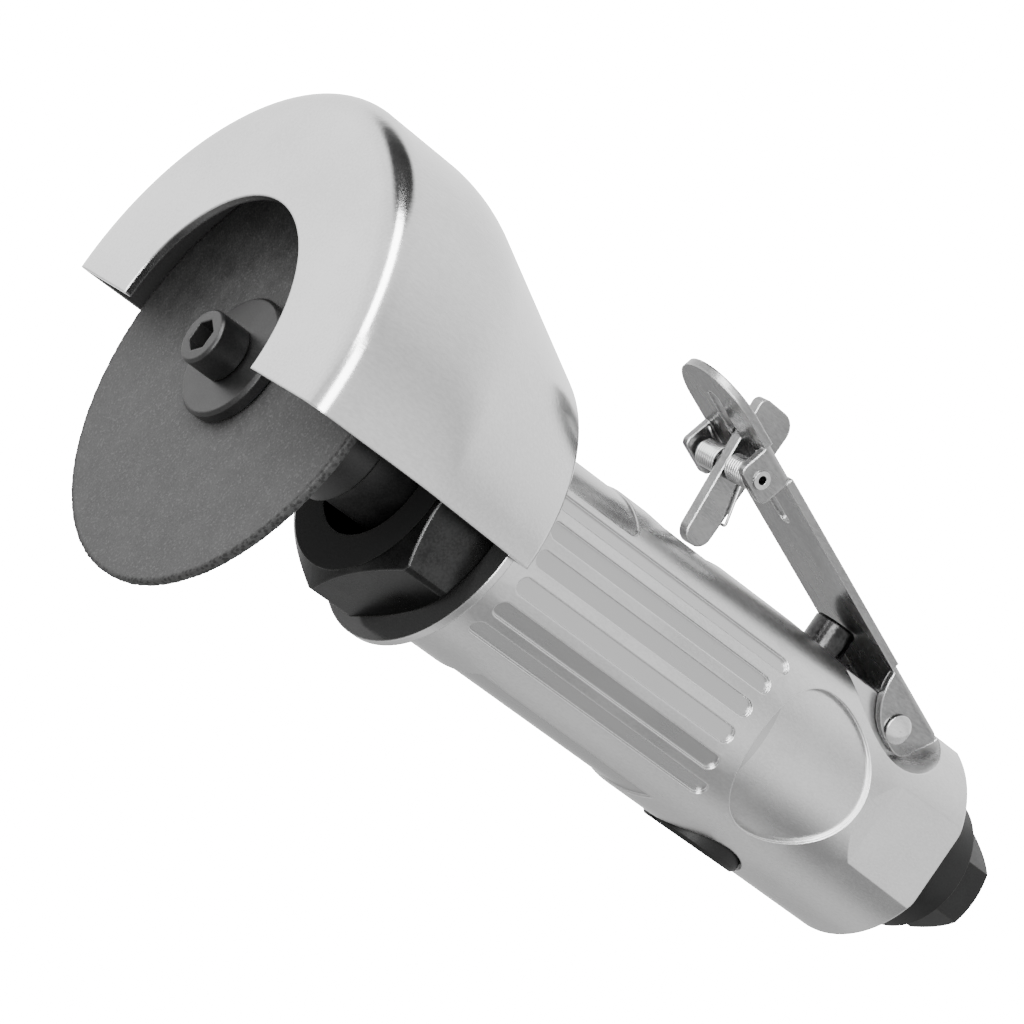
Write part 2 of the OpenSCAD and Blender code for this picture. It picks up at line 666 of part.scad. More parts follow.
module inner_race(x, w, r_in, r_out) difference() {
    ring_x(x + race_gap, w - 2 * race_gap, r_in + (r_out - r_in) * race_share, r_in + seated);
    groove(x, w, r_in, r_out);
}
module outer_race(x, w, r_in, r_out) difference() {
    ring_x(x, w, r_out, r_out - (r_out - r_in) * race_share);
    groove(x, w, r_in, r_out);
}
module each_ball(x, w, r_in, r_out, r) for (i = [0:ball_count - 1]) translate([x + w / 2, 0, 0])
    rotate([i * 360 / ball_count, 0, 0]) translate([0, 0, ball_circle(r_in, r_out)]) sphere(r);
module bearing_balls(x, w, r_in, r_out) each_ball(x, w, r_in, r_out, ball_r(r_in, r_out));
module bearing_cage(x, w, r_in, r_out) {
    half = (r_out - r_in) * (1 / 2 - race_share) - running;
    len = w * cage_share;
    difference() {
        ring_x(x + w / 2 - len / 2, len, ball_circle(r_in, r_out) + half, ball_circle(r_in, r_out) - half);
        each_ball(x, w, r_in, r_out, ball_r(r_in, r_out) + running);
    }
}

module front_bearing_outer() color("silver")
    outer_race(front_bearing_x, front_bearing_w, front_shaft_r, front_bearing_r);
module front_bearing_inner() color("silver")
    inner_race(front_bearing_x, front_bearing_w, front_shaft_r, front_bearing_r);
module front_bearing_balls() color("white")
    bearing_balls(front_bearing_x, front_bearing_w, front_shaft_r, front_bearing_r);
module front_bearing_cage() color("goldenrod")
    bearing_cage(front_bearing_x, front_bearing_w, front_shaft_r, front_bearing_r);
module rear_bearing_outer() color("silver")
    outer_race(rear_bearing_x, rear_bearing_w, rear_shaft_r, rear_bearing_r);
module rear_bearing_inner() color("silver")
    inner_race(rear_bearing_x, rear_bearing_w, rear_shaft_r, rear_bearing_r);
module rear_bearing_balls() color("white")
    bearing_balls(rear_bearing_x, rear_bearing_w, rear_shaft_r, rear_bearing_r);
module rear_bearing_cage() color("goldenrod")
    bearing_cage(rear_bearing_x, rear_bearing_w, rear_shaft_r, rear_bearing_r);

// Rotor's ends run clear of the end plates
end_gap = 0.1;
module vane_slots(t, depth, len) for (i = [0:vane_count - 1]) rotate([i * 360 / vane_count, 0, 0])
    translate([cylinder_x + cylinder_len / 2 - len / 2, -t / 2, rotor_r - depth]) cube([len, t, depth + over]);

module rotor() color("gray") difference() {
    union() {
        along_x(cylinder_x + end_gap) cylinder(r = rotor_r, h = cylinder_len - 2 * end_gap);
        along_x(shaft_front_x) cylinder(r = front_shaft_r, h = cylinder_x + end_gap - shaft_front_x);
        along_x(rear_plate_x - end_gap) cylinder(r = rear_shaft_r, h = rear_plate_len + end_gap - slack);
    }
    vane_slots(vane_t + 2 * running, vane_depth + running, cylinder_len);
}

module rotor_vanes() color("sienna") intersection() {
    vane_slots(vane_t, vane_depth, cylinder_len - 2 * slack);
    along_x(cylinder_x) cylinder(r = rotor_r - seated, h = cylinder_len);
}

module drive_hub() color("dimgray") difference() {
    union() {
        along_x(hub_x) chamfered(flange_r, hub_front_len, flange_edge);
        along_x(hub_x - pilot_len) cylinder(r = arbor_r - running, h = pilot_len + over);
        along_x(waist_x - over) cylinder(r = hub_waist_r, h = sleeve_x - waist_x + over);
        along_x(sleeve_x) cylinder(r = hub_sleeve_r, h = hub_sleeve_len);
    }
    along_x(hub_x - pilot_len - over) cylinder(r = screw_r + seated, h = shaft_front_x + over - hub_x + pilot_len);
    along_x(shaft_front_x) cylinder(r = front_shaft_r + seated, h = front_bearing_x + over - shaft_front_x);
}

module cutting_wheel() color("dimgray") ring_x(wheel_x, wheel_t, wheel_r, arbor_r);

module outer_flange() color("dimgray") difference() {
    along_x(wheel_x - flange_t) chamfered(flange_r, flange_t, flange_edge);
    along_x(wheel_x - flange_t - over) cylinder(r = screw_r + slack, h = flange_t + 2 * over);
    along_x(wheel_x - flange_relief) cylinder(r = flange_relief_r, h = flange_relief + over);
}

module wheel_screw() color("black") difference() {
    union() {
        along_x(wheel_x - flange_t - screw_head_h) chamfered(screw_head_r, screw_head_h, screw_edge);
        along_x(wheel_x - flange_t - over) cylinder(r = screw_r, h = screw_len - slack + over);
    }
    along_x(wheel_x - flange_t - screw_head_h - over) hexagon(socket_af, socket_depth + over);
}

// Lever's own frame: origin on the pivot pin, -X forward along the lever, +Z out of its top
module on_lever() translate(pivot) rotate([0, lever_tilt, 0]) children();

// Side outline of the lever: web, cheek round the pivot and ear round the latch pin
module lever_side(h) {
    lobe_y = cheek_lobe_r - cheek_bottom;
    translate([-lever_reach, lever_rise - lever_t]) linear_extrude(h) square([lever_reach, lever_t]);
    intersection() {
        translate([cheek_sweep_x, cheek_sweep_r - cheek_bottom]) cylinder(r = cheek_sweep_r, h = h);
        translate([-cheek_sweep_r, -cheek_bottom]) cube([cheek_sweep_r + cheek_sweep_x, cheek_bottom + lever_rise, h]);
    }
    linear_extrude(h) polygon([[cheek_sweep_x, -cheek_bottom], [cheek_lobe_x, -cheek_bottom],
        [cheek_lobe_x + cheek_lobe_r, lobe_y], [cheek_rear, cheek_rear_z], [cheek_rear, lever_rise - cheek_corner],
        [cheek_rear - cheek_corner, lever_rise], [cheek_sweep_x, lever_rise]]);
    translate([cheek_lobe_x, lobe_y]) cylinder(r = cheek_lobe_r, h = h);
    translate([cheek_rear - cheek_corner, lever_rise - cheek_corner]) cylinder(r = cheek_corner, h = h);
    ear_low = lever_rise - ear_drop;
    translate([-latch_pin_at - ear_w / 2, ear_low + ear_corner]) cube([ear_w, ear_drop - ear_corner, h]);
    translate([-latch_pin_at - ear_w / 2 + ear_corner, ear_low]) cube([ear_w - 2 * ear_corner, 2 * ear_corner, h]);
    for (side = [1, -1])
        translate([-latch_pin_at + side * (ear_w / 2 - ear_corner), ear_low + ear_corner])
            cylinder(r = ear_corner, h = h);
}

// Cross-section of the folded sheet, an upside-down channel
module lever_channel() {
    drop = lever_rise + pivot_z;
    half = lever_w / 2;
    difference() {
        union() {
            translate([-half, -pivot_z]) square([lever_w, drop - lever_bend]);
            translate([-half + lever_bend, -pivot_z]) square([lever_w - 2 * lever_bend, drop]);
            for (side = [1, -1]) translate([side * (half - lever_bend), lever_rise - lever_bend]) circle(lever_bend);
        }
        translate([-lever_inner, -pivot_z - over]) square([2 * lever_inner, drop - lever_t + over]);
    }
}

// Flat strip with square edges, between two places along the lever
module lever_strip(from, to) translate([from, -lever_w / 2, lever_rise - lever_t]) cube([to - from, lever_w, lever_t]);

module throttle_lever() color("silver") on_lever() difference() {
    intersection() {
        rotate([90, 0, 0]) translate([0, 0, -lever_w]) lever_side(2 * lever_w);
        union() {
            rotate([90, 0, 90]) translate([0, 0, -lever_reach]) linear_extrude(2 * lever_reach) lever_channel();
            lever_strip(-lever_reach, -latch_pin_at - ear_w / 2);
            lever_strip(-latch_pin_at + ear_w / 2, -cheek_sweep_r);
        }
        translate([0, 0, -pivot_z]) linear_extrude(2 * pivot_z) {
            translate([-lever_reach + lever_w / 2, -lever_w / 2]) square([2 * lever_reach, lever_w]);
            translate([-lever_reach + lever_w / 2, 0]) circle(lever_w / 2);
        }
    }
    translate([web_end, -lever_inner, lever_rise - lever_t - over]) cube([lever_reach, 2 * lever_inner, lever_t + 2 * over]);
    translate([-latch_pin_at - slot_front, 0, lever_rise - lever_t - over]) linear_extrude(lever_t + 2 * over)
        slot_shape(slot_front + slot_rear, latch_t + 2 * slack);
    along_y([0, -lever_w, 0]) cylinder(r = pivot_r + running, h = 2 * lever_w);
    along_y([-latch_pin_at, -lever_w, latch_pin_rise]) cylinder(r = latch_pin_r + seated, h = 2 * lever_w);
}

module lever_pin() color("silver") {
    half = lever_w / 2 + slack;
    along_y([pivot_x, -half, pivot_z]) cylinder(r = pivot_r, h = 2 * half);
    for (side = [1, -1]) translate([pivot_x, side * half, pivot_z]) rotate([-side * 90, 0, 0]) intersection() {
        cylinder(r = pivot_head_r, h = pivot_head_h);
        translate([0, 0, pivot_head_h - pivot_head_r * dome_share]) sphere(pivot_head_r * dome_share);
    }
}
dome_share = 2.4;
nut_corner_share = 0.985;

module latch_pin_tube() color("silver") {
    half = lever_w / 2 + slack;
    along_y(latch_pin - [0, half, 0]) difference() {
        cylinder(r = latch_pin_r, h = 2 * half);
        translate([0, 0, -over]) cylinder(r = latch_pin_bore_r, h = 2 * half + 2 * over);
    }
}

// Latch outline about its pin: a tab above the lever and a foot with a round tip
module latch_plate(h) {
    tip_r = foot_w / 2;
    tip = [tip_r - foot_front, tip_r - foot_len];
    tab_rear = tab_w - tab_front;
    linear_extrude(h) polygon([[-tab_front, tab_len - tab_corner_front], [tab_corner_front - tab_front, tab_len],
        [tab_rear - tab_corner_rear, tab_len], [tab_rear, tab_len - tab_corner_rear], [tab_rear, tab_root],
        [tip[0] + tip_r, 0], [tip[0] + tip_r, tip[1]], [-foot_front, tip[1]]]);
    translate(tip) cylinder(r = tip_r, h = h);
    translate([tab_corner_front - tab_front, tab_len - tab_corner_front]) cylinder(r = tab_corner_front, h = h);
    translate([tab_rear - tab_corner_rear, tab_len - tab_corner_rear]) cylinder(r = tab_corner_rear, h = h);
}

module safety_latch() color("silver") translate(latch_pin) difference() {
    rotate([90, 0, 0]) translate([0, 0, -latch_t / 2]) latch_plate(latch_t);
    along_y([0, -latch_t, 0]) cylinder(r = latch_pin_r + running, h = 2 * latch_t);
}

// Double torsion spring on the latch pin: an arm under the lever, curls, and a leg down to the bail
leg_y = latch_t / 2 + spring_wire_r + slack;
coil_y = lever_inner - spring_wire_r - slack;
bail_x = foot_w - foot_front + spring_wire_r + slack;
bail_bend = 2 * spring_wire_r;
// The leg leaves the coil on a tangent that ends at the bail
leg_angle = atan(bail_x / bail_drop) - asin(spring_r / norm([bail_x, bail_drop]));
arm_lean = 5;
arm_angle = 90 - lever_tilt - arm_lean;
function coil_point(a, y) = [spring_r * cos(a), y, spring_r * sin(a)];
function coil_heading(a) = [sin(a), 0, -cos(a)];
coil_turn = arm_angle - leg_angle + 360 * spring_curls;
coil_steps = round(coil_turn / 360 * wire_steps);
coil = [for (i = [0:coil_steps]) let (f = i / coil_steps)
    coil_point(leg_angle + coil_turn * (1 - f), -coil_y + (coil_y - leg_y) * f)];
leg_len = sqrt(pow(bail_x, 2) + pow(bail_drop, 2) - pow(spring_r, 2));
leg_end = coil_point(leg_angle, -leg_y) + (leg_len - bail_bend) * coil_heading(leg_angle);
bend = [for (a = [30, 60, 90])
    leg_end + bail_bend * (sin(a) * coil_heading(leg_angle) + [0, 1 - cos(a), 0])];
spring_half = concat([coil[0] - spring_arm * coil_heading(arm_angle)], coil, [leg_end], bend);
latch_spring_path = concat(spring_half, [for (i = [len(spring_half) - 1:-1:0])
    [spring_half[i][0], -spring_half[i][1], spring_half[i][2]]]);

module latch_spring() color("gainsboro") translate(latch_pin)
    wire(latch_spring_path, spring_wire_r, [0, 1, 0]);

// Stem reaches from the plunger's shoulder through the seat to the valve
valve_top = seat_z - seated;
shoulder_top = valve_bore_top - slack;
module valve_plunger() color("gray") up_from([valve_x, 0, 0]) difference() {
    union() {
        up_from([0, 0, shoulder_top - shoulder_t]) cylinder(r = shoulder_r, h = shoulder_t);
        up_from([0, 0, shoulder_top - shoulder_t]) cylinder(r = plunger_r, h = plunger_top - shoulder_top + shoulder_t - flange_edge);
        up_from([0, 0, plunger_top - flange_edge]) cylinder(r1 = plunger_r, r2 = plunger_r - flange_edge, h = flange_edge);
        up_from([0, 0, valve_top]) cylinder(r = stem_r, h = shoulder_top - valve_top - shoulder_t);
    }
    ring_groove(plunger_ring_z, plunger_r);
}
// Groove for an O-ring round a stem, and the ring in it, about the Z axis
module ring_groove(z, r) up_from([0, 0, z - o_ring_r - seated]) difference() {
    cylinder(r = r + over, h = 2 * (o_ring_r + seated));
    up_from([0, 0, -over]) cylinder(r = r - 2 * o_ring_r, h = 2 * (o_ring_r + over));
}
module o_ring(z, r) up_from([valve_x, 0, z]) rotate_extrude() translate([r - o_ring_r, 0]) circle(o_ring_r - seated);

module plunger_o_ring() color("black") o_ring(plunger_ring_z, plunger_r);

module valve_bush() color("goldenrod") difference() {
    up_from([valve_x, 0, seat_z]) cylinder(r = valve_bore_r - seated, h = valve_bore_top - seat_z);
    up_from([valve_x, 0, seat_z - over]) cylinder(r = seat_r, h = seat_t + 2 * over);
    up_from([valve_x, 0, seat_z + seat_t]) cylinder(r = chamber_r, h = valve_bore_top);
    translate([valve_x, 0, bush_window_z]) rotate([0, -90, 0]) cylinder(r = bush_window_r, h = valve_bore_r + over);
}

module throttle_valve() color("dimgray") up_from([valve_x, 0, 0]) {
    up_from([0, 0, valve_top - valve_t]) cylinder(r = valve_r, h = valve_t);
    up_from([0, 0, valve_top - valve_t - plunger_travel]) cylinder(r = stem_r, h = plunger_travel);
}

// Compression spring between the regulator's cup and the valve
spring_low = -cup_floor + valve_wire_r + seated;
spring_high = valve_top - valve_t - valve_wire_r - seated;
valve_turns = valve_curls * wire_steps;
valve_coil = [for (i = [0:valve_turns]) let (a = i * 360 / wire_steps)
    [valve_spring_r * cos(a), valve_spring_r * sin(a), spring_low + (spring_high - spring_low) * i / valve_turns]];
function run_out(p, q) = p + 2 * valve_wire_r * unit([p[0] - q[0], p[1] - q[1], 0]);
valve_spring_path = concat([run_out(valve_coil[0], valve_coil[1])], valve_coil,
    [run_out(valve_coil[valve_turns], valve_coil[valve_turns - 1])]);
module valve_spring() color("gainsboro") up_from([valve_x, 0, 0])
    wire(valve_spring_path, valve_wire_r, [0, 0, 1]);

module regulator_knob() color("black") difference() {
    union() {
        up_from([valve_x, 0, -recess_floor - knob_t / 2])
            cylinder(r = valve_bore_r - running, h = recess_floor + knob_t / 2 - cup_rim);
        up_from([valve_x, 0, -recess_floor - knob_t]) chamfered(recess_r - knob_gap, knob_t - seated, knob_edge);
    }
    up_from([valve_x, 0, -cup_floor]) cylinder(r = chamber_r, h = cup_floor);
    translate([valve_x, 0, -cup_port_z]) rotate([0, 90, 0]) cylinder(r = cup_port_r, h = valve_bore_r + over);
    translate([valve_x - recess_r, -knob_slot_w / 2, -recess_floor - knob_t - over])
        cube([2 * recess_r, knob_slot_w, knob_slot_depth + over]);
    up_from([valve_x, 0, 0]) ring_groove(regulator_ring_z, valve_bore_r - running);
    up_from([valve_x, 0, regulator_pin_z - stop_pin_r - running]) difference() {
        cylinder(r = valve_bore_r + over, h = 2 * (stop_pin_r + running));
        up_from([0, 0, -over]) cylinder(r = valve_bore_r - stop_groove - running, h = 2 * (stop_pin_r + running + over));
    }
}

module regulator_o_ring() color("black") o_ring(regulator_ring_z, valve_bore_r - running);

module regulator_pin() color("gray") intersection() {
    along_y([valve_x, valve_bore_r - stop_groove, regulator_pin_z]) cylinder(r = stop_pin_r, h = housing_rear_r);
    housing_form(pad_depth);
}

module exhaust_collar() color("black") difference() {
    along_x(tail_x) rotate_extrude() polygon([[0, 0], [collar_front_r, 0], [collar_rear_r, collar_len - collar_edge],
        [collar_rear_r - collar_edge, collar_len], [0, collar_len]]);
    along_x(tail_x - over) cylinder(r = bush_shank_r + seated, h = collar_len + 2 * over);
    ring_x(tail_x - over, over + exhaust_depth, exhaust_exit_y + exhaust_r, exhaust_exit_y - exhaust_r);
    for (a = [-exhaust_spread, 0, exhaust_spread]) rotate([a, 0, 0])
        translate([tail_x - over, exhaust_exit_y - exhaust_r, -exhaust_r])
            cube([over + exhaust_depth, collar_front_r, 2 * exhaust_r]);
}

module inlet_bush() color("black") difference() {
    union() {
        along_x(-bush_hex_len) intersection() {
            hexagon(bush_af, bush_hex_len);
            rotate_extrude() polygon([[0, 0], [bush_af, 0], [bush_af / 2 + bush_edge, bush_hex_len - bush_edge],
                [bush_af / 2 - bush_edge / 2, bush_hex_len], [0, bush_hex_len]]);
        }
        along_x(tail_x - bush_shank_len) cylinder(r = bush_shank_r, h = bush_shank_len + collar_len);
    }
    along_x(-inlet_len) cylinder(r = inlet_r, h = inlet_len + over);
    along_x(-inlet_len - screen_t) cylinder(r = screen_r, h = screen_t + over);
    along_x(tail_x - bush_shank_len - over) cylinder(r = bush_bore_r, h = bush_shank_len + collar_len);
}

module inlet_screen() color("silver") difference() {
    along_x(-inlet_len - screen_t) cylinder(r = screen_r - seated, h = screen_t);
    for (ring = [0:2]) for (i = [0:max(1, ring * 6) - 1]) rotate([i * 60 / max(1, ring), 0, 0])
        translate([0, 0, ring * screen_r * screen_share]) along_x(-inlet_len - screen_t - over)
            cylinder(r = screen_hole_r, h = screen_t + 2 * over);
}
screen_share = 0.36;

// Least gap of each spring's wire to itself
echo(latch_spring_gap = self_gap(latch_spring_path, spring_wire_r));
echo(valve_spring_gap = self_gap(valve_spring_path, valve_wire_r));

housing();
wheel_guard();
clamp_nut();
front_end_plate();
rear_end_plate();
cylinder_liner();
cylinder_dowel();
front_bearing_outer();
front_bearing_inner();
front_bearing_balls();
front_bearing_cage();
rear_bearing_outer();
rear_bearing_inner();
rear_bearing_balls();
rear_bearing_cage();
rotor();
rotor_vanes();
drive_hub();
cutting_wheel();
outer_flange();
wheel_screw();
throttle_lever();
lever_pin();
latch_pin_tube();
safety_latch();
latch_spring();
valve_plunger();
plunger_o_ring();
valve_bush();
throttle_valve();
valve_spring();
regulator_knob();
regulator_o_ring();
regulator_pin();
exhaust_collar();
inlet_bush();
inlet_screen();
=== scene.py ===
import json
import math
import bpy
import bmesh
from mathutils import Matrix, Vector, noise


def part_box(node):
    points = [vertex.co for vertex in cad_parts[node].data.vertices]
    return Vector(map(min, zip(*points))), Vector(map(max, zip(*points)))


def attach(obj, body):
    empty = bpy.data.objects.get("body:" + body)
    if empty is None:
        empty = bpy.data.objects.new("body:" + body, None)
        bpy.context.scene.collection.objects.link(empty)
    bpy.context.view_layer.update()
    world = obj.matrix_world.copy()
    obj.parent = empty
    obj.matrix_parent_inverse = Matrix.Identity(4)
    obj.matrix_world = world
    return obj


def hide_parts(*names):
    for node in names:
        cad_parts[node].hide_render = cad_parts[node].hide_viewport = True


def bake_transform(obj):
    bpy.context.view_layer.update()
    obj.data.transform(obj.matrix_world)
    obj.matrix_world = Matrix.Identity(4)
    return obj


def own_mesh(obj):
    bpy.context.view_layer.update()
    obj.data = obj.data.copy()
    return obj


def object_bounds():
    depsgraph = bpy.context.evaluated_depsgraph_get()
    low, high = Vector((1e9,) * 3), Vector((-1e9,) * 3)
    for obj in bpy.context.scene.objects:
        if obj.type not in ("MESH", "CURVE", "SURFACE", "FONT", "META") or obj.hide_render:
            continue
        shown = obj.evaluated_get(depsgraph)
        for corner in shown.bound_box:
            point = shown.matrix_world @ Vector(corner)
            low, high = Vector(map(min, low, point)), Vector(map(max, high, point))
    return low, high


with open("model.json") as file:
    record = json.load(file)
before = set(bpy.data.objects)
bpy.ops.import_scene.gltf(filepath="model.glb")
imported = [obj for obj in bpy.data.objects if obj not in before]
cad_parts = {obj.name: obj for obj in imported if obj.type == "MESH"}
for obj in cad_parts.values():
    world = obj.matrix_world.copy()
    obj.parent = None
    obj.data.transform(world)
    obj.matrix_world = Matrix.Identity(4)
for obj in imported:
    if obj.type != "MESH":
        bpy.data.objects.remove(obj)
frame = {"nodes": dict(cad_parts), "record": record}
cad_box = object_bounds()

# Camera
# A long lens close to the tool, a little below its axis and rolled, so the barrel
# runs from the upper left to the lower right of the square picture.
lens_mm = 119.06
film_mm = 36.0
nearest_seen = 0.02
lens_at = Vector((-0.439597, -0.453244, -0.020631))
lens_right = Vector((0.659332, -0.489127, 0.570996))
lens_up = Vector((-0.493818, 0.29095, 0.819446))
lens_back = Vector((-0.566944, -0.822255, -0.049707))


def stand(made, spot, right, up, back):
    """Puts an object in the scene at a spot, turned to three axes."""
    bpy.context.scene.collection.objects.link(made)
    made.matrix_world = Matrix.Translation(spot) @ Matrix((right, up, back)).transposed().to_4x4()


camera_data = bpy.data.cameras.new("camera")
camera_data.lens = lens_mm
camera_data.sensor_width = film_mm
camera_data.clip_start = nearest_seen
camera = bpy.data.objects.new("camera", camera_data)
stand(camera, lens_at, lens_right, lens_up, lens_back)
bpy.context.scene.camera = camera

# Studio
# A white tabletop in a white light tent that runs round the tool's axis. It is open high behind
# the guard, which shows as a dark patch on its bend. A tall lamp and one beside the lens draw
# bright streaks along bends and edges.
paper_white = 20.0
floor_half = 6.0
floor_drop = 0.0005
floor_shade = 0.9
floor_rough = 0.5
tent_strength = 2.4
# The tent's brightness by the angle round the tool's axis: 0 is in front and 90 is overhead
tent_round = (
    (-180, 0.95), (-170, 0.6), (-158, 0.28), (-140, 0.27), (-116, 0.31), (-92, 0.43), (-80, 0.36),
    (-68, 0.24), (-56, 0.15), (-44, 0.19), (-32, 0.36), (-20, 0.58), (-8, 0.66), (8, 0.6), (38, 0.45),
    (64, 0.66), (88, 0.77), (112, 0.8), (147, 0.86), (180, 1.0))
# The opening: the way to its middle, the cosines where it begins and is full, and its brightness
open_way = Vector((-0.28, 0.36, 0.89)).normalized()
open_from, open_full = 0.86, 0.93
open_shade = 0.02
lamp_aim = Vector((-0.18, 0, 0.01))
lamp_far = 0.6


def grey(shade):
    """A colour with no hue."""
    return (shade, shade, shade)


def new_finish(name, colour, roughness, metallic):
    """A material and its shader, with the values that are the same all over."""
    made = bpy.data.materials.new(name)
    made.use_nodes = True
    shader = made.node_tree.nodes["Principled BSDF"]
    shader.inputs["Base Color"].default_value = (*colour, 1)
    shader.inputs["Roughness"].default_value = roughness
    shader.inputs["Metallic"].default_value = metallic
    return made, shader


def feed(tree, socket, value):
    """Sets an input, or links it where the value is another node's output."""
    if isinstance(value, bpy.types.NodeSocket):
        tree.links.new(value, socket)
    else:
        socket.default_value = value


def add_node(tree, kind, group=None, **values):
    """A node, or a copy of a node group, with its named inputs fed."""
    made = tree.nodes.new(kind)
    if group:
        made.node_tree = group
    for name, value in values.items():
        feed(tree, made.inputs[name.replace("_", " ")], value)
    return made


def add_math(tree, kind, operation, *values):
    """A math or vector math node with its inputs fed in order."""
    made = tree.nodes.new(kind)
    made.operation = operation
    for socket, value in zip(made.inputs, values):
        feed(tree, socket, value)
    return made


def number(tree, operation, *values):
    """The result of a math node on sockets or numbers."""
    return add_math(tree, "ShaderNodeMath", operation, *values).outputs["Value"]


def add_range(tree, value, start, full, low=0.0, high=1.0):
    """A value that goes from low to high while another goes from start to full."""
    return add_node(tree, "ShaderNodeMapRange", Value=value, From_Min=start, From_Max=full,
                    To_Min=low, To_Max=high).outputs["Result"]


def mix_in(tree, colour, mask, target):
    """Lays a colour over what already feeds a colour socket, by a mask."""
    laid = tree.nodes.new("ShaderNodeMix")
    laid.data_type = "RGBA"
    tree.links.new(target.links[0].from_socket, laid.inputs["A"])
    laid.inputs["B"].default_value = (*colour, 1)
    tree.links.new(mask, laid.inputs["Factor"])
    tree.links.new(laid.outputs["Result"], target)
    return laid


floor_z = cad_box[0].z - floor_drop
floor_corners = [(-1, -1), (1, -1), (1, 1), (-1, 1)]
floor_mesh = bpy.data.meshes.new("floor")
floor_mesh.from_pydata([(x * floor_half, y * floor_half, floor_z) for x, y in floor_corners],
                       [], [(0, 1, 2, 3)])
floor = bpy.data.objects.new("floor", floor_mesh)
bpy.context.scene.collection.objects.link(floor)
floor.visible_diffuse = False
floor.visible_glossy = False
floor.visible_shadow = False
floor_paint, floor_shader = new_finish("floor_paint", grey(floor_shade), floor_rough, metallic=0.0)
floor_shader.inputs["Emission Color"].default_value = (1, 1, 1, 1)
floor_shader.inputs["Emission Strength"].default_value = paper_white
floor_mesh.materials.append(floor_paint)

room = bpy.data.worlds.new("room")
bpy.context.scene.world = room
room.use_nodes = True
tent = room.node_tree
tent_way = tent.nodes.new("ShaderNodeTexCoord").outputs["Generated"]
tent_parts = add_node(tent, "ShaderNodeSeparateXYZ", Vector=tent_way).outputs
tent_front = number(tent, "MULTIPLY", tent_parts["Y"], -1.0)
tent_angle = number(tent, "ARCTAN2", tent_parts["Z"], tent_front)
tent_ramp = add_node(tent, "ShaderNodeValToRGB", Fac=add_range(tent, tent_angle, -math.pi, math.pi))
tent_stops = tent_ramp.color_ramp.elements
while len(tent_stops) < len(tent_round):
    tent_stops.new(0.5)
for stop, (angle, shade) in zip(tent_stops, tent_round):
    stop.position = angle / 360 + 0.5
    stop.color = (*grey(shade), 1)
tent_light = tent.nodes["Background"]
tent_light.inputs["Strength"].default_value = tent_strength
tent.links.new(tent_ramp.outputs["Color"], tent_light.inputs["Color"])
open_near = add_math(tent, "ShaderNodeVectorMath", "DOT_PRODUCT", tent_way, open_way).outputs["Value"]
mix_in(tent, grey(open_shade), add_range(tent, open_near, open_from, open_full), tent_light.inputs["Color"])
paper = add_node(tent, "ShaderNodeBackground", Color=(1, 1, 1, 1), Strength=paper_white)
seen = tent.nodes.new("ShaderNodeMixShader")
tent.links.new(tent.nodes.new("ShaderNodeLightPath").outputs["Is Camera Ray"], seen.inputs["Fac"])
tent.links.new(tent_light.outputs["Background"], seen.inputs[1])
tent.links.new(paper.outputs["Background"], seen.inputs[2])
tent.links.new(seen.outputs["Shader"], tent.nodes["World Output"].inputs["Surface"])


def add_lamp(name, way, along, size, power):
    """An oblong lamp that shows in gloss alone, at a fixed distance from the guard."""
    data = bpy.data.lights.new(name, "AREA")
    data.shape = "RECTANGLE"
    data.size, data.size_y = size
    data.energy = power
    made = bpy.data.objects.new(name, data)
    made.visible_diffuse = False
    way = way.normalized()
    across = along.cross(way).normalized()
    stand(made, lamp_aim + way * lamp_far, across, way.cross(across), way)


add_lamp("tall_lamp", way=Vector((-0.65, -0.3, 0.69)), along=Vector((-0.185, -0.46, -0.38)),
         size=(0.22, 0.5), power=5.6)
add_lamp("lens_lamp", way=Vector((-0.566, -0.82, 0.05)), along=Vector((0, 0, 1)),
         size=(0.3, 0.5), power=6.6)

# Housing
# The barrel is a die casting, shot-blasted and plated a satin nickel colour. The floors of
# its flutes are painted darker as painted shade in the recesses, and the edges of flutes, pads and flats
# are brighter, partly rubbed wear and partly a painted highlight.
barrel_low, barrel_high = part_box("housing")
barrel_front_r = 0.0199
barrel_rear_r = 0.021
flute_shadow = 0.0003
flute_end = barrel_low.x + 0.066
flute_painted_shade = 0.47
# Where most of a noise's values lie, and the two ends of the colours over them
noise_low, noise_high = 0.3, 0.7
dark_at, light_at = 0.3, 0.68
speckle_share = 0.14
grain_depth = 0.00005
bevel_samples = 6
# Cosines of the turn of a bevel where the edge colour, partly rubbed wear and partly a painted highlight,
# begins and is full
edge_mark_from, edge_mark_full = 0.99, 0.75


def new_group(name, inputs, outputs):
    """A shader node group with its named sockets."""
    made = bpy.data.node_groups.new(name, "ShaderNodeTree")
    for socket, value in inputs.items():
        added = made.interface.new_socket(socket, in_out="INPUT", socket_type="NodeSocketFloat")
        added.default_value = value
    for socket, kind in outputs.items():
        made.interface.new_socket(socket, in_out="OUTPUT", socket_type="NodeSocket" + kind)
    return made, made.nodes.new("NodeGroupInput").outputs, made.nodes.new("NodeGroupOutput").inputs


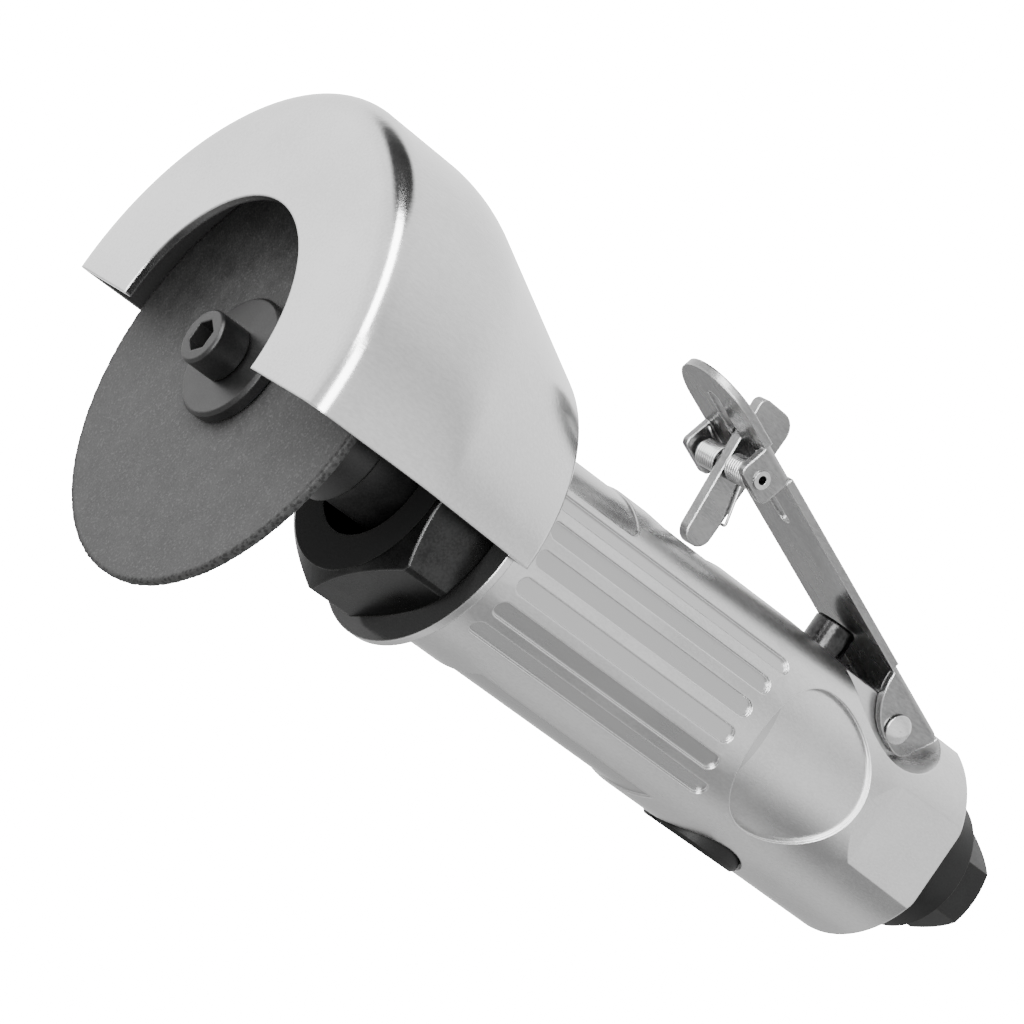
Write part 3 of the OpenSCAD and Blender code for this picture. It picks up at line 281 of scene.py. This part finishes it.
# Blotches of a plated or painted skin: a cloudy mask, a fine grain and its height
blotch, blotch_in, blotch_out = new_group(
    "blotch", {"Cloud Scale": 120.0, "Grain Scale": 2500.0, "Stretch": 1.0},
    {"Cloud": "Float", "Grain": "Float", "Height": "Float"})
blotch_stretch = add_node(blotch, "ShaderNodeCombineXYZ", X=blotch_in["Stretch"], Y=1.0, Z=1.0)
blotch_place = add_node(blotch, "ShaderNodeMapping", Scale=blotch_stretch.outputs["Vector"],
                        Vector=blotch.nodes.new("ShaderNodeTexCoord").outputs["Object"])
blotch_cloud = add_node(blotch, "ShaderNodeTexNoise", Vector=blotch_place.outputs["Vector"],
                        Scale=blotch_in["Cloud Scale"], Detail=5.0, Roughness=0.62)
blotch_grain = add_node(blotch, "ShaderNodeTexNoise", Vector=blotch_place.outputs["Vector"],
                        Scale=blotch_in["Grain Scale"], Detail=2.0, Roughness=0.5)
feed(blotch, blotch_out["Cloud"], blotch_cloud.outputs["Fac"])
feed(blotch, blotch_out["Grain"], blotch_grain.outputs["Fac"])
feed(blotch, blotch_out["Height"], blotch_grain.outputs["Fac"])

# Rounded edges: the normal of a small bevel, and a mask that is high along it
edge, edge_in, edge_out = new_group("edge", {"Radius": 0.0003}, {"Mask": "Float", "Normal": "Vector"})
edge_bevel = add_node(edge, "ShaderNodeBevel", Radius=edge_in["Radius"])
edge_bevel.samples = bevel_samples
edge_turn = add_math(edge, "ShaderNodeVectorMath", "DOT_PRODUCT", edge_bevel.outputs["Normal"],
                     edge.nodes.new("ShaderNodeNewGeometry").outputs["Normal"])
feed(edge, edge_out["Mask"], add_range(edge, edge_turn.outputs["Value"], edge_mark_from, edge_mark_full))
feed(edge, edge_out["Normal"], edge_bevel.outputs["Normal"])


def metal_skin(name, dark, light, edge_wear_and_highlight, rough, cloud, grain, stretch, bump, edge_r, metallic=1.0):
    """A metal finish: clouded colour and gloss, fine grain, and edges in a third colour, partly rubbed wear
    and partly a painted highlight.
    """
    finish, shader = new_finish(name, light, rough[0], metallic)
    tree = finish.node_tree
    skin = add_node(tree, "ShaderNodeGroup", blotch, Cloud_Scale=cloud, Grain_Scale=grain, Stretch=stretch)
    rim = add_node(tree, "ShaderNodeGroup", edge, Radius=edge_r)
    speckle = add_range(tree, skin.outputs["Grain"], noise_low, noise_high, -speckle_share, speckle_share)
    ramp = add_node(tree, "ShaderNodeValToRGB", Fac=number(tree, "ADD", skin.outputs["Cloud"], speckle))
    for stop, at, colour in zip(ramp.color_ramp.elements, (dark_at, light_at), (dark, light)):
        stop.position = at
        stop.color = (*colour, 1)
    tree.links.new(ramp.outputs["Color"], shader.inputs["Base Color"])
    # The edges get a third colour: partly rubbed wear, partly a painted highlight along the bevel.
    mix_in(tree, edge_wear_and_highlight, rim.outputs["Mask"], shader.inputs["Base Color"]).name = "edge_wear_and_highlight"
    gloss = add_range(tree, skin.outputs["Cloud"], noise_low, noise_high, *rough)
    tree.links.new(gloss, shader.inputs["Roughness"])
    relief = add_node(tree, "ShaderNodeBump", Strength=bump, Distance=grain_depth,
                      Height=skin.outputs["Height"], Normal=rim.outputs["Normal"])
    tree.links.new(relief.outputs["Normal"], shader.inputs["Normal"])
    return finish


def under_edges(finish, colour, mask):
    """Lays a colour on a metal finish by a mask, under its edge colour of rubbed wear and painted
    highlight.
    """
    mix_in(finish.node_tree, colour, mask, finish.node_tree.nodes["edge_wear_and_highlight"].inputs["A"])


def set_specular(finish, level):
    """Sets how strongly the part of a finish that isn't metal shines."""
    finish.node_tree.nodes["Principled BSDF"].inputs["Specular IOR Level"].default_value = level


def off_axis(tree):
    """A surface point's place along the tool's axis, and its direction and distance from it."""
    where = tree.nodes.new("ShaderNodeTexCoord").outputs["Object"]
    along = add_node(tree, "ShaderNodeSeparateXYZ", Vector=where).outputs["X"]
    aside = add_math(tree, "ShaderNodeVectorMath", "MULTIPLY", where, (0, 1, 1)).outputs["Vector"]
    away = add_math(tree, "ShaderNodeVectorMath", "LENGTH", aside).outputs["Value"]
    return along, aside, away


def dress(finish, *names):
    """Gives CAD nodes their finish."""
    for name in names:
        frame["nodes"][name].data.materials.clear()
        frame["nodes"][name].data.materials.append(finish)


satin_casting = metal_skin("satin_casting", dark=grey(0.55), light=grey(0.64), edge_wear_and_highlight=grey(0.84),
                           rough=(0.24, 0.33), cloud=70.0, grain=2600.0, stretch=0.5, bump=0.22,
                           edge_r=0.0004)
dress(satin_casting, "housing")
casting = satin_casting.node_tree
along, aside, away = off_axis(casting)
barrel_grow = (barrel_rear_r - barrel_front_r) / (barrel_high.x - barrel_low.x)
skin_r = number(casting, "MULTIPLY_ADD", along, barrel_grow,
                barrel_front_r - flute_shadow - barrel_low.x * barrel_grow)
in_flute = number(casting, "MULTIPLY", number(casting, "LESS_THAN", away, skin_r),
                  number(casting, "LESS_THAN", along, flute_end))
# Painted shade: the flute floors are painted darker than the rest of the barrel.
under_edges(satin_casting, grey(flute_painted_shade), in_flute)

# Motor
# The air motor inside the barrel: end plates, cylinder and rotor in ground iron, a turned dowel
# that lines them up, and vanes of laminate that slide in the rotor's slots.
ground_iron = metal_skin("ground_iron", dark=grey(0.2), light=grey(0.3), edge_wear_and_highlight=grey(0.4),
                         rough=(0.3, 0.45), cloud=300.0, grain=3000.0, stretch=0.2, bump=0.1,
                         edge_r=0.0003)
dress(ground_iron, "front_end_plate", "rear_end_plate", "cylinder_liner", "rotor")
turned_rod = metal_skin("turned_rod", dark=grey(0.6), light=grey(0.72), edge_wear_and_highlight=grey(0.85),
                        rough=(0.12, 0.2), cloud=200.0, grain=2500.0, stretch=0.3, bump=0.05,
                        edge_r=0.0002)
dress(turned_rod, "cylinder_dowel")
vane_laminate = metal_skin("vane_laminate", dark=(0.16, 0.08, 0.04), light=(0.28, 0.15, 0.08),
                           edge_wear_and_highlight=(0.35, 0.2, 0.1), rough=(0.45, 0.6), cloud=700.0, grain=5000.0,
                           stretch=0.1, bump=0.2, edge_r=0.0002, metallic=0.0)
dress(vane_laminate, "rotor_vanes")

# Bearings
# Two ball bearings pressed into the end plates: races and balls of hardened steel, polished,
# and cages of turned brass.
polished_steel = metal_skin("polished_steel", dark=(0.62, 0.62, 0.63), light=(0.74, 0.74, 0.75),
                            edge_wear_and_highlight=grey(0.85), rough=(0.08, 0.14), cloud=300.0, grain=3000.0,
                            stretch=1.0, bump=0.02, edge_r=0.0002)
turned_brass = metal_skin("turned_brass", dark=(0.55, 0.4, 0.16), light=(0.7, 0.52, 0.24),
                          edge_wear_and_highlight=(0.85, 0.7, 0.4), rough=(0.2, 0.32), cloud=300.0, grain=3000.0,
                          stretch=1.0, bump=0.05, edge_r=0.0002)
for end in ("front", "rear"):
    dress(polished_steel, end + "_bearing_outer", end + "_bearing_inner", end + "_bearing_balls")
    dress(turned_brass, end + "_bearing_cage")

# Wheel guard
# A half-round hood pressed from steel sheet and plated, glossier than the barrel outside.
# Its inside and the plate that the nut clamps are painted dark and dull: painted shade inside the hood, and
# a painted dark reflection of the nut on the plate.
guard_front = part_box("wheel_guard")[0].x
face_depth = 0.008
sheet_t = 0.0018
hood_painted_shade = 0.085
# How far a face leans to the tool's axis, and to the front, to count as inside the hood
least_inward = -0.002
least_forward = -0.5


def faces_forward(tree, most):
    """A mask of the faces that look to the front of the tool, by the X of their way out."""
    way = tree.nodes.new("ShaderNodeTexCoord").outputs["Normal"]
    return number(tree, "LESS_THAN", add_node(tree, "ShaderNodeSeparateXYZ", Vector=way).outputs["X"], most)


def dull_where(finish, mask):
    """Takes the shine of metal off a finish on a mask."""
    tree = finish.node_tree
    tree.links.new(number(tree, "SUBTRACT", 1.0, mask), tree.nodes["Principled BSDF"].inputs["Metallic"])


pressed_plate = metal_skin("pressed_plate", dark=grey(0.58), light=grey(0.67), edge_wear_and_highlight=grey(0.88),
                           rough=(0.14, 0.22), cloud=50.0, grain=2200.0, stretch=0.4, bump=0.24,
                           edge_r=0.0005)
dress(pressed_plate, "wheel_guard")
plate = pressed_plate.node_tree
along, aside, away = off_axis(plate)
inward = add_math(plate, "ShaderNodeVectorMath", "DOT_PRODUCT",
                  plate.nodes.new("ShaderNodeTexCoord").outputs["Normal"], aside).outputs["Value"]
on_lining = number(plate, "MULTIPLY", number(plate, "LESS_THAN", inward, least_inward),
                   number(plate, "GREATER_THAN", along, guard_front + sheet_t))
on_clamped = number(plate, "MULTIPLY", faces_forward(plate, least_forward),
                    number(plate, "GREATER_THAN", along, guard_front + face_depth))
inside_hood = number(plate, "MAXIMUM", on_lining, on_clamped)
# Painted shade and reflection: the inside of the hood and the clamped plate are painted dark and lose their
# metal shine.
under_edges(pressed_plate, grey(hood_painted_shade), inside_hood)
dull_where(pressed_plate, inside_hood)
set_specular(pressed_plate, 0.1)

# Clamp nut
# A steel hexagon nut, milled, blackened in oxide and oiled, which clamps the guard on the barrel.
# Its front is painted dark and dull as painted shade, and its corners are rubbed to a dark grey.
nut_front_painted_shade = 0.05
front_lean = -0.95
black_oxide = metal_skin("black_oxide", dark=grey(0.025), light=grey(0.045), edge_wear_and_highlight=grey(0.16),
                         rough=(0.22, 0.34), cloud=150.0, grain=3000.0, stretch=1.0, bump=0.06,
                         edge_r=0.0006)
dress(black_oxide, "clamp_nut")
on_front = faces_forward(black_oxide.node_tree, front_lean)
# Painted shade: the nut's front face is painted dark and dull.
under_edges(black_oxide, grey(nut_front_painted_shade), on_front)
dull_where(black_oxide, on_front)
set_specular(black_oxide, 0.0)

# Drive hub, outer flange and wheel screw
# Turned steel, blackened to a duller coat than the nut. The socket screw draws the flange
# against the wheel and the wheel against the hub.
dull_oxide = metal_skin("dull_oxide", dark=grey(0.014), light=grey(0.028), edge_wear_and_highlight=grey(0.08),
                        rough=(0.32, 0.46), cloud=150.0, grain=3000.0, stretch=1.0, bump=0.12,
                        edge_r=0.0004, metallic=0.2)
dress(dull_oxide, "drive_hub", "outer_flange", "wheel_screw")

# Cutting wheel
# Grit in a dark resin, pressed with glass cloth into a thin disc and fired. Its face shows
# fine pale grains, and its rim is broken and pitted where it has been trued.
wheel_low, wheel_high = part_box("cutting_wheel")
wheel_r = wheel_high.z
wheel_t = 0.0016
arbor_r = 0.00476
wheel_steps = 480
pits_per_m = 1400
face_pit = 0.00006
rim_chip = 0.00032
rim_back = 0.00025
chips_from = 0.0345
chips_over = 0.0036
# Pale grains on the face: how many, which of them show, how strongly, and their shade
grains_per_m = 3200.0
grain_from, grain_full = 0.75, 0.97
grain_cover = 0.45
grain_shade = 0.17
# The trued rim: where it begins and is full, its shade, and the spread and edge of its holes, which are
# painted near-black as painted shade
trued_from, trued_full = wheel_r - 0.0011, wheel_r - 0.0006
trued_shade = 0.047
holes_per_m = 1500.0
hole_from, hole_full = 0.6, 0.3
hole_painted_shade = 0.004


def new_piece(name, mesh, finish):
    """Puts a smooth mesh in the scene with its finish."""
    for face in mesh.polygons:
        face.use_smooth = True
    mesh.materials.append(finish)
    made = bpy.data.objects.new(name, mesh)
    bpy.context.scene.collection.objects.link(made)
    return made


# The disc's section from the hole's front edge round the rim to its back edge: radius and side
face_rs = (arbor_r, 0.012, 0.022, 0.030, 0.0345, 0.0365, 0.0374, wheel_r - rim_back)
wheel_section = [(r, 0.0) for r in face_rs]
wheel_section += [(wheel_r, share) for share in (0.18, 0.39, 0.61, 0.82)]
wheel_section += [(r, 1.0) for r in reversed(face_rs)]
section_len = len(wheel_section)
wheel_points = []
wheel_faces = []
for step in range(wheel_steps):
    around = 2 * math.pi * step / wheel_steps
    for r, share in wheel_section:
        seed = Vector((r * math.cos(around), r * math.sin(around), share * wheel_t)) * pits_per_m
        depth = (noise.noise(seed) + 1) / 2
        near_rim = max(0.0, min(1.0, (r - chips_from) / chips_over)) ** 3
        sunk = {0.0: face_pit, 1.0: -face_pit}.get(share, 0.0) * depth
        chipped = r - rim_chip * depth * near_rim
        wheel_points.append((wheel_low.x + share * (wheel_high.x - wheel_low.x) + sunk,
                             chipped * math.cos(around), chipped * math.sin(around)))
    here = step * section_len
    after = (step + 1) % wheel_steps * section_len
    for i in range(section_len):
        j = (i + 1) % section_len
        wheel_faces.append((here + i, here + j, after + j, after + i))
wheel_mesh = bpy.data.meshes.new("abrasive_disc")
wheel_mesh.from_pydata(wheel_points, [], wheel_faces)
wheel_made = bmesh.new()
wheel_made.from_mesh(wheel_mesh)
bmesh.ops.recalc_face_normals(wheel_made, faces=wheel_made.faces)
wheel_made.to_mesh(wheel_mesh)
wheel_made.free()
abrasive = metal_skin("abrasive", dark=grey(0.052), light=grey(0.085), edge_wear_and_highlight=grey(0.03),
                      rough=(0.6, 0.75), cloud=260.0, grain=3600.0, stretch=1.0, bump=0.7,
                      edge_r=0.0002, metallic=0.0)
resin = abrasive.node_tree
resin_colour = resin.nodes["Principled BSDF"].inputs["Base Color"]
resin_where = resin.nodes.new("ShaderNodeTexCoord").outputs["Object"]
grains = add_node(resin, "ShaderNodeTexVoronoi", Vector=resin_where, Scale=grains_per_m)
grain_pick = add_node(resin, "ShaderNodeSeparateColor", Color=grains.outputs["Color"])
pale_grain = add_range(resin, grain_pick.outputs["Red"], grain_from, grain_full, 0.0, grain_cover)
mix_in(resin, grey(grain_shade), pale_grain, resin_colour)
along, aside, away = off_axis(resin)
trued = add_range(resin, away, trued_from, trued_full)
mix_in(resin, grey(trued_shade), trued, resin_colour)
holes = add_node(resin, "ShaderNodeTexVoronoi", Vector=resin_where, Scale=holes_per_m)
in_hole = add_range(resin, holes.outputs["Distance"], hole_from, hole_full)
# Painted shade: the holes near the rim are painted near-black, with no pits in the mesh.
mix_in(resin, grey(hole_painted_shade), number(resin, "MULTIPLY", in_hole, trued), resin_colour)
wheel = new_piece("abrasive_disc", wheel_mesh, abrasive)
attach(wheel, "spindle")
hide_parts("cutting_wheel")

# Throttle lever, safety latch and lever pin
# Lever and latch are steel sheet, stamped, folded and plated bright. The lever swings on a
# rivet turned from rod, through its cheeks and the barrel's boss.
stamped_plate = metal_skin("stamped_plate", dark=grey(0.19), light=grey(0.28), edge_wear_and_highlight=grey(0.8),
                           rough=(0.2, 0.32), cloud=160.0, grain=2500.0, stretch=0.3, bump=0.1,
                           edge_r=0.0006, metallic=0.85)
dress(stamped_plate, "throttle_lever", "safety_latch")
dress(turned_rod, "lever_pin")

# Latch spring and its hollow pin
# One length of drawn wire: an arm under the lever, close curls on each side of the latch,
# and two legs down to a bail behind the latch's foot, which they push forward.
joints = {joint["name"]: joint for joint in frame["record"]["behaviour"]["joints"]}
latch_pin = Vector(joints["latch_fold"]["pos_m"])
wire_r = 0.00028
wire_sides = 12
curl_r = 0.0023
curls = 9
curl_steps = 24
leg_y = 0.00175
coil_y = 0.00745
bail_x = 0.0052
bail_drop = 0.009
bail_bend = 0.0005
arm_len = 0.004
arm_angle = math.radians(67.5)
leg_angle = math.atan2(bail_x, bail_drop) - math.asin(curl_r / math.hypot(bail_x, bail_drop))
leg_len = math.sqrt(bail_x ** 2 + bail_drop ** 2 - curl_r ** 2)


def tube_mesh(name, path, radius):
    """A round wire along a path, closed at both ends."""
    count = len(path)
    headings = [(path[min(i + 1, count - 1)] - path[max(i - 1, 0)]).normalized() for i in range(count)]
    side = headings[0].orthogonal().normalized()
    points = []
    for spot, heading in zip(path, headings):
        side = (side - heading * side.dot(heading)).normalized()
        other = heading.cross(side)
        for k in range(wire_sides):
            angle = 2 * math.pi * k / wire_sides
            points.append(spot + (side * math.cos(angle) + other * math.sin(angle)) * radius)
    faces = []
    for i in range(count - 1):
        here = i * wire_sides
        beyond = here + wire_sides
        for k in range(wire_sides):
            after = (k + 1) % wire_sides
            faces.append((here + k, here + after, beyond + after, beyond + k))
    faces.append(tuple(reversed(range(wire_sides))))
    faces.append(tuple(range((count - 1) * wire_sides, count * wire_sides)))
    made = bpy.data.meshes.new(name)
    made.from_pydata(points, [], faces)
    return made


def on_curl(angle, y):
    """A point on the curls, and the way the wire heads there."""
    spot = Vector((curl_r * math.cos(angle), y, curl_r * math.sin(angle)))
    return spot, Vector((math.sin(angle), 0, -math.cos(angle)))


coil_turn = arm_angle - leg_angle + 2 * math.pi * curls
coil_steps = round(coil_turn / (2 * math.pi) * curl_steps)
arm_root, arm_way = on_curl(arm_angle, -coil_y)
half_spring = [arm_root - arm_way * arm_len * share for share in (1.0, 0.66, 0.33)]
for step in range(coil_steps + 1):
    share = step / coil_steps
    half_spring.append(on_curl(leg_angle + coil_turn * (1 - share), -coil_y + (coil_y - leg_y) * share)[0])
leg_top, leg_way = on_curl(leg_angle, -leg_y)
half_spring += [leg_top + leg_way * (leg_len - bail_bend) * share for share in (0.2, 0.4, 0.6, 0.8, 1.0)]
leg_end = half_spring[-1]
for degrees in (18, 36, 54, 72, 90):
    angle = math.radians(degrees)
    bend = leg_way * math.sin(angle) + Vector((0, 1 - math.cos(angle), 0))
    half_spring.append(leg_end + bend * bail_bend)
spring_path = half_spring + [Vector((p.x, -p.y, p.z)) for p in reversed(half_spring)]
spring_mesh = tube_mesh("torsion_spring", [latch_pin + p for p in spring_path], wire_r)
drawn_wire = metal_skin("drawn_wire", dark=grey(0.42), light=grey(0.56), edge_wear_and_highlight=grey(0.7),
                        rough=(0.16, 0.26), cloud=300.0, grain=3000.0, stretch=0.3, bump=0.05,
                        edge_r=0.0001)
dress(drawn_wire, "latch_pin_tube")
torsion_spring = new_piece("torsion_spring", spring_mesh, drawn_wire)
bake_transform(torsion_spring)
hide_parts("latch_spring")

# Valve plunger
# A hardened steel button, ground on its side and worn to a dark polish, with a stem that
# opens the valve below it.
ground_button = metal_skin("ground_button", dark=grey(0.022), light=grey(0.05), edge_wear_and_highlight=grey(0.2),
                           rough=(0.16, 0.26), cloud=420.0, grain=1500.0, stretch=1.0, bump=0.6,
                           edge_r=0.0004)
dress(ground_button, "valve_plunger")

# Valve spring and bush
# Drawn wire, wound open, between the regulator's cup and the valve; it closes as the
# plunger goes down. The valve's seat is cut in a bush of turned brass.
valve_low, valve_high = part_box("valve_spring")
valve_wire_r = 0.0004
valve_coil_r = 0.0032
valve_curls = 5
valve_x = joints["regulator_turn"]["pos_m"][0]
valve_len = valve_high.z - valve_low.z
valve_steps = valve_curls * curl_steps
valve_path = []
for step in range(valve_steps + 1):
    angle = 2 * math.pi * step / curl_steps
    rise = (valve_len - 2 * valve_wire_r) * step / valve_steps
    valve_path.append(Vector((valve_x + valve_coil_r * math.cos(angle), valve_coil_r * math.sin(angle),
                              valve_low.z + valve_wire_r + rise)))
valve_mesh = tube_mesh("closing_spring", valve_path, valve_wire_r)
closing_spring = new_piece("closing_spring", valve_mesh, drawn_wire)
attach(closing_spring, "housing")
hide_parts("valve_spring")
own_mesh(closing_spring)
dress(turned_brass, "valve_bush")

# Regulator knob, exhaust collar, valve disc and seals
# Moulded in black glass-filled plastic and rubber with a dull sheen. The knob is held in its
# bore by a turned pin, and the collar is pushed on the tail round the inlet.
black_plastic = metal_skin("black_plastic", dark=grey(0.009), light=grey(0.016), edge_wear_and_highlight=grey(0.035),
                           rough=(0.4, 0.55), cloud=200.0, grain=4000.0, stretch=1.0, bump=0.2,
                           edge_r=0.0003, metallic=0.0)
set_specular(black_plastic, 0.2)
dress(black_plastic, "regulator_knob", "exhaust_collar", "throttle_valve")
dress(black_plastic, "plunger_o_ring", "regulator_o_ring")
dress(turned_rod, "regulator_pin")

# Inlet bush and thread
# A blackened steel hexagon bush at the tail, which takes the hose fitting. The pipe thread is
# cut inside it, and a strainer lies behind the thread.
thread_r = 0.0058
thread_height = 0.00055
thread_pitch = 0.00141
thread_flank = thread_pitch * 0.42
thread_turns = 6
thread_steps = 48
thread_start = -0.0006
thread_section = ((-thread_flank, thread_r), (0, thread_r - thread_height), (thread_flank, thread_r))
inlet_oxide = metal_skin("inlet_oxide", dark=grey(0.011), light=grey(0.02), edge_wear_and_highlight=grey(0.06),
                         rough=(0.4, 0.52), cloud=150.0, grain=3000.0, stretch=1.0, bump=0.12,
                         edge_r=0.0004, metallic=0.0)
set_specular(inlet_oxide, 0.2)
dress(inlet_oxide, "inlet_bush")
dress(turned_rod, "inlet_screen")
thread_points = []
for step in range(thread_turns * thread_steps + 1):
    angle = 2 * math.pi * step / thread_steps
    centre_x = thread_start - thread_pitch * step / thread_steps
    for dx, r in thread_section:
        thread_points.append((centre_x + dx, r * math.cos(angle), r * math.sin(angle)))
thread_faces = [(0, 1, 2)]
for step in range(thread_turns * thread_steps):
    here = 3 * step
    thread_faces.append((here, here + 3, here + 4, here + 1))
    thread_faces.append((here + 1, here + 4, here + 5, here + 2))
    thread_faces.append((here + 2, here + 5, here + 3, here))
thread_faces.append((here + 5, here + 4, here + 3))
thread_mesh = bpy.data.meshes.new("pipe_thread")
thread_mesh.from_pydata(thread_points, [], thread_faces)
pipe_thread = new_piece("pipe_thread", thread_mesh, inlet_oxide)
for face in thread_mesh.polygons:
    face.use_smooth = False
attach(pipe_thread, "housing")
